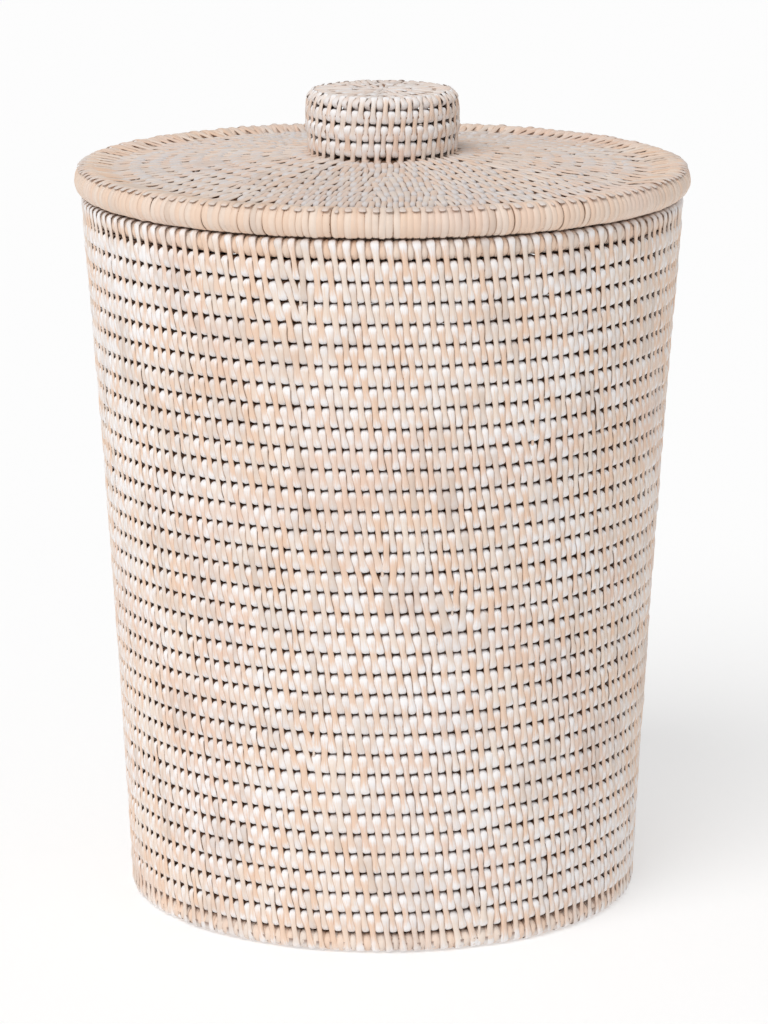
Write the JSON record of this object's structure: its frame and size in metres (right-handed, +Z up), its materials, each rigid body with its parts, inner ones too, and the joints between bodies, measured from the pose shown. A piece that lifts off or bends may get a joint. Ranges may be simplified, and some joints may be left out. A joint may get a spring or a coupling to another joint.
{
  "type": "laundry basket",
  "caption": "Round tapered laundry basket coiled and wrapped in whitewashed rattan, with a flat lift-off lid, a thick wrapped rim and a round woven knob.",
  "frame": {"origin": "centre of the foot, on the surface that the basket stands on", "axes": "+Z up through the knob; the basket is round, so +X and +Y are any two directions square to each other"},
  "size_m": [0.4, 0.4, 0.5318],
  "materials": {
    "wall_rattan": "whitewashed rattan strips, matt, rubbed back to tan on the raised spots",
    "base_rattan": "whitewashed rattan strips, matt",
    "rim_rattan": "closely wrapped rattan strips, satin peach tan",
    "lid_rattan": "whitewashed rattan strips, matt, greyer than the wall",
    "knob_rattan": "whitewashed rattan strips, matt"
  },
  "bodies": {
    "basket": {"base_panel": "base_rattan", "foot_course": "wall_rattan", "wall_course_01": "wall_rattan", "wall_course_02": "wall_rattan", "wall_course_03": "wall_rattan", "wall_course_04": "wall_rattan", "wall_course_05": "wall_rattan", "wall_course_06": "wall_rattan", "wall_course_07": "wall_rattan", "wall_course_08": "wall_rattan", "wall_course_09": "wall_rattan", "wall_course_10": "wall_rattan", "wall_course_11": "wall_rattan", "wall_course_12": "wall_rattan", "wall_course_13": "wall_rattan", "wall_course_14": "wall_rattan", "wall_course_15": "wall_rattan", "wall_course_16": "wall_rattan", "wall_course_17": "wall_rattan", "wall_course_18": "wall_rattan", "wall_course_19": "wall_rattan", "wall_course_20": "wall_rattan", "wall_course_21": "wall_rattan", "wall_course_22": "wall_rattan", "wall_course_23": "wall_rattan", "wall_course_24": "wall_rattan", "wall_course_25": "wall_rattan", "wall_course_26": "wall_rattan", "wall_course_27": "wall_rattan", "wall_course_28": "wall_rattan", "wall_course_29": "wall_rattan", "wall_course_30": "wall_rattan", "wall_course_31": "wall_rattan", "wall_course_32": "wall_rattan", "wall_course_33": "wall_rattan", "rim_hoop": "rim_rattan"},
    "lid": {"lid_rim_hoop": "rim_rattan", "lid_panel": "lid_rattan", "lid_locating_ring": "rim_rattan", "knob_course_1": "knob_rattan", "knob_course_2": "knob_rattan", "knob_course_3": "knob_rattan", "knob_shoulder": "knob_rattan", "knob_top": "knob_rattan"}
  },
  "joints": [
    {"name": "lid_lift", "type": "slide", "parent": "basket", "child": "lid", "axis": [0, 0, 1], "range_m": [0, 0.3]}
  ]
}
